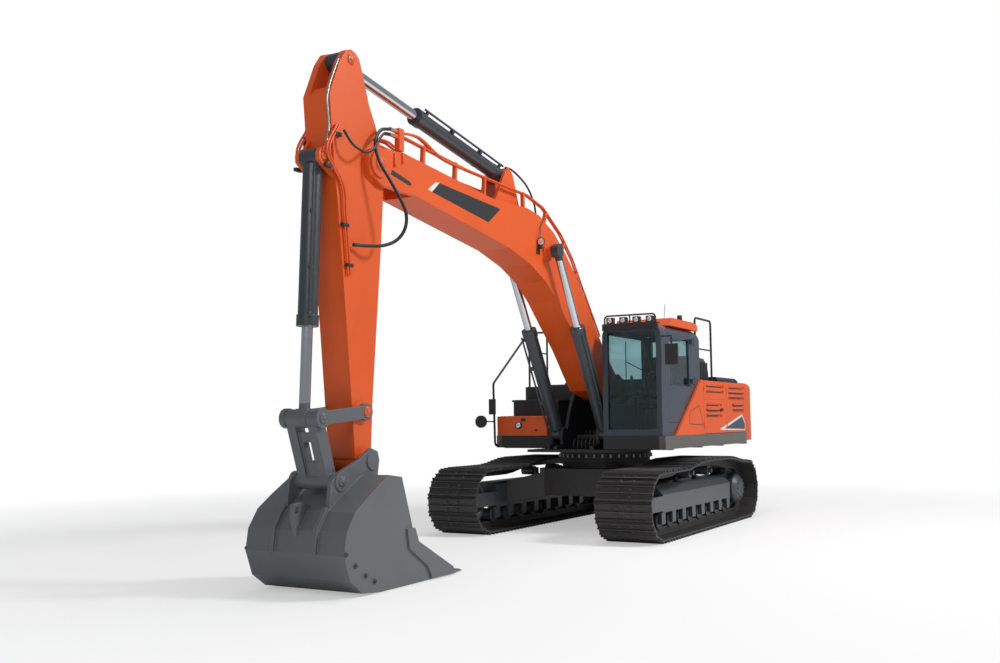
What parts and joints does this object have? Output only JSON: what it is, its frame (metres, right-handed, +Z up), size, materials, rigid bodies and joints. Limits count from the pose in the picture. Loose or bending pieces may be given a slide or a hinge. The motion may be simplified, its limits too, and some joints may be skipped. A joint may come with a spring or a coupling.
{
  "type": "crawler excavator",
  "caption": "Crawler excavator: slewing house with cab, cranked boom, arm and linked bucket moved by cylinders, on two chain tracks with triple-grouser shoes.",
  "frame": {"origin": "centre of the machine's footprint box, on the ground under the grouser tips", "axes": "+X from the tail to the bucket, +Y to the operator's left, +Z up"},
  "size_m": [10.8548, 3.4, 5.45],
  "materials": {
    "machine_orange": "satin",
    "slate_paint": "satin",
    "cab_blue_grey": "satin",
    "bucket_grey": "satin",
    "black_paint": "satin",
    "track_steel": "worn",
    "rod_chrome": "polished",
    "tinted_glass": "clear",
    "seat_fabric": "matte",
    "hose_rubber": "matte",
    "bare_steel": "brushed"
  },
  "bodies": {
    "undercarriage": {"car_body": "slate_paint", "swing_ring": "slate_paint", "track_frame_left": "slate_paint", "track_frame_right": "slate_paint", "track_left": "track_steel", "track_right": "track_steel", "idlers": "slate_paint", "sprockets": "slate_paint", "rollers": "slate_paint"},
    "house": {"upper_frame": "slate_paint", "counterweight": "machine_orange", "engine_block": "black_paint", "side_panel": "machine_orange", "cowl": "black_paint", "tool_box": "machine_orange", "tank_steps": "black_paint", "intake_box": "slate_paint", "exhaust": "bare_steel", "cab_shell": "cab_blue_grey", "cab_glass": "tinted_glass", "cab_roof": "machine_orange", "seat": "seat_fabric", "roof_lamps": "black_paint", "handrails": "black_paint", "mirrors": "black_paint"},
    "cab_door": {"cab_door": "cab_blue_grey", "door_glass": "tinted_glass"},
    "left_front_door": {"left_front_door": "machine_orange"},
    "left_rear_door": {"left_rear_door": "machine_orange"},
    "right_door": {"right_door": "machine_orange"},
    "engine_hood": {"engine_hood": "black_paint"},
    "boom": {"boom": "machine_orange", "boom_pipes": "machine_orange"},
    "boom_barrel_left": {"boom_barrel_left": "slate_paint"},
    "boom_barrel_right": {"boom_barrel_right": "slate_paint"},
    "boom_rod_left": {"boom_rod_left": "rod_chrome"},
    "boom_rod_right": {"boom_rod_right": "rod_chrome"},
    "arm": {"arm": "machine_orange"},
    "arm_barrel": {"arm_barrel": "slate_paint"},
    "arm_rod": {"arm_rod": "rod_chrome"},
    "bucket_barrel": {"bucket_barrel": "slate_paint"},
    "bucket_rod": {"bucket_rod": "rod_chrome"},
    "side_links": {"side_links": "bucket_grey"},
    "bucket_link": {"bucket_link": "bucket_grey"},
    "bucket": {"bucket": "bucket_grey", "bucket_teeth": "bucket_grey"}
  },
  "joints": [
    {"name": "swing", "type": "hinge", "parent": "undercarriage", "child": "house", "pos_m": [-1.94, 0, 1.1], "axis": [0, 0, 1], "continuous": true},
    {"name": "boom_lift", "type": "hinge", "parent": "house", "child": "boom", "pos_m": [-1.77, 0, 2.1], "axis": [0, -1, 0], "range_deg": [-64, 38]},
    {"name": "boom_barrel_left_pivot", "type": "hinge", "parent": "house", "child": "boom_barrel_left", "pos_m": [-1.06, 0.385, 1.42], "axis": [0, -1, 0], "range_deg": [-75, 46]},
    {"name": "boom_barrel_right_pivot", "type": "hinge", "parent": "house", "child": "boom_barrel_right", "pos_m": [-1.06, -0.385, 1.42], "axis": [0, -1, 0], "range_deg": [-75, 46]},
    {"name": "boom_rod_left_slide", "type": "slide", "parent": "boom_barrel_left", "child": "boom_rod_left", "axis": [0.518, 0, 0.8554], "range_m": [-1.1, 0.75]},
    {"name": "boom_rod_right_slide", "type": "slide", "parent": "boom_barrel_right", "child": "boom_rod_right", "axis": [0.518, 0, 0.8554], "range_m": [-1.1, 0.75]},
    {"name": "arm_swing", "type": "hinge", "parent": "boom", "child": "arm", "pos_m": [4.36, 0, 4.33], "axis": [0, 1, 0], "range_deg": [-80, 35]},
    {"name": "arm_barrel_pivot", "type": "hinge", "parent": "boom", "child": "arm_barrel", "pos_m": [1.36, 0, 4.83], "axis": [0, 1, 0], "range_deg": [-8, 6]},
    {"name": "arm_rod_slide", "type": "slide", "parent": "arm_barrel", "child": "arm_rod", "axis": [0.9887, 0, 0.1498], "range_m": [-1.4, 0.65]},
    {"name": "bucket_curl", "type": "hinge", "parent": "arm", "child": "bucket", "pos_m": [4.54, 0, 1.24], "axis": [0, 1, 0], "range_deg": [-70, 85]},
    {"name": "bucket_barrel_pivot", "type": "hinge", "parent": "arm", "child": "bucket_barrel", "pos_m": [5.148, 0, 4.25], "axis": [0, 1, 0], "range_deg": [-5, 5]},
    {"name": "bucket_rod_slide", "type": "slide", "parent": "bucket_barrel", "child": "bucket_rod", "axis": [0.0434, 0, -0.9991], "range_m": [-0.8, 0.85]},
    {"name": "side_link_pivot", "type": "hinge", "parent": "arm", "child": "side_links", "pos_m": [4.56, 0, 1.73], "axis": [0, 1, 0], "range_deg": [-70, 75]},
    {"name": "bucket_link_pivot", "type": "hinge", "parent": "bucket", "child": "bucket_link", "pos_m": [5.045, 0, 1.06], "axis": [0, 1, 0], "range_deg": [-75, 70]},
    {"name": "cab_door_hinge", "type": "hinge", "parent": "house", "child": "cab_door", "pos_m": [-1.86, 1.503, 2.4], "axis": [0, 0, 1], "range_deg": [0, 165]},
    {"name": "left_front_door_hinge", "type": "hinge", "parent": "house", "child": "left_front_door", "pos_m": [-2.297, 1.499, 1.8], "axis": [0, 0, 1], "range_deg": [-110, 0]},
    {"name": "left_rear_door_hinge", "type": "hinge", "parent": "house", "child": "left_rear_door", "pos_m": [-3.439, 1.499, 1.8], "axis": [0, 0, 1], "range_deg": [-110, 0]},
    {"name": "right_door_hinge", "type": "hinge", "parent": "house", "child": "right_door", "pos_m": [-2.952, -1.499, 1.8], "axis": [0, 0, 1], "range_deg": [0, 110]},
    {"name": "engine_hood_hinge", "type": "hinge", "parent": "house", "child": "engine_hood", "pos_m": [-4.482, 0, 2.227], "axis": [0, -1, 0], "range_deg": [0, 65]}
  ],
  "couplings": [
    {"joint": "boom_barrel_left_pivot", "follows": "boom_lift", "ratio": 1.0031},
    {"joint": "boom_barrel_right_pivot", "follows": "boom_lift", "ratio": 1.0031},
    {"joint": "boom_rod_left_slide", "follows": "boom_lift", "m_per_rad": 0.8826},
    {"joint": "boom_rod_right_slide", "follows": "boom_lift", "m_per_rad": 0.8826},
    {"joint": "arm_barrel_pivot", "follows": "arm_swing", "ratio": 0.039},
    {"joint": "arm_rod_slide", "follows": "arm_swing", "m_per_rad": 0.93},
    {"joint": "side_link_pivot", "follows": "bucket_curl", "ratio": 0.74},
    {"joint": "bucket_link_pivot", "follows": "bucket_curl", "ratio": -0.78},
    {"joint": "bucket_barrel_pivot", "follows": "bucket_curl", "ratio": 0.0406},
    {"joint": "bucket_rod_slide", "follows": "bucket_curl", "m_per_rad": 0.4569}
  ]
}
